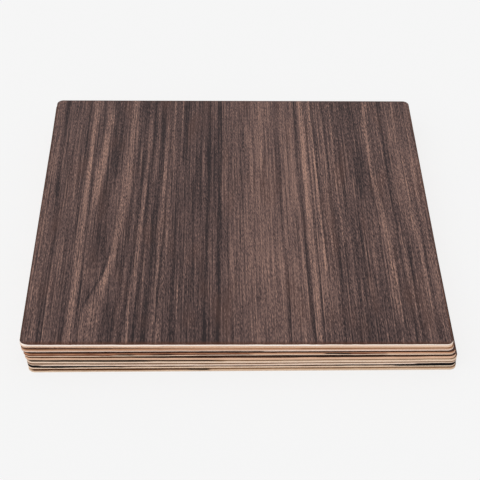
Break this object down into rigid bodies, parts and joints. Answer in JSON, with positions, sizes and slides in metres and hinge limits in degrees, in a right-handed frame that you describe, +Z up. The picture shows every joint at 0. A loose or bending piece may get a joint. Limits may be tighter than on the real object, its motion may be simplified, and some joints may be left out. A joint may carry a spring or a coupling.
{
  "type": "stack of plywood sheets",
  "caption": "Low square stack of thin wood-faced plywood sheets with rounded corners, slightly warped and loosely squared up, lying flat as raw stock.",
  "frame": {"origin": "middle of the bottom sheet's underside, on the surface that the stack lies on", "axes": "+Z up out of the broad faces, +Y along the grain towards the far edge, +X to the right of someone at the front edge"},
  "size_m": [0.3043, 0.3035, 0.0255],
  "materials": {
    "veneered_plywood": "dark open-grained face veneer, unpolished, over pale plies that show on the sawn edges"
  },
  "bodies": {
    "root": {"bottom_sheet": "veneered_plywood", "second_sheet": "veneered_plywood", "third_sheet": "veneered_plywood", "fourth_sheet": "veneered_plywood", "fifth_sheet": "veneered_plywood", "sixth_sheet": "veneered_plywood", "seventh_sheet": "veneered_plywood", "top_sheet": "veneered_plywood"}
  },
  "joints": []
}
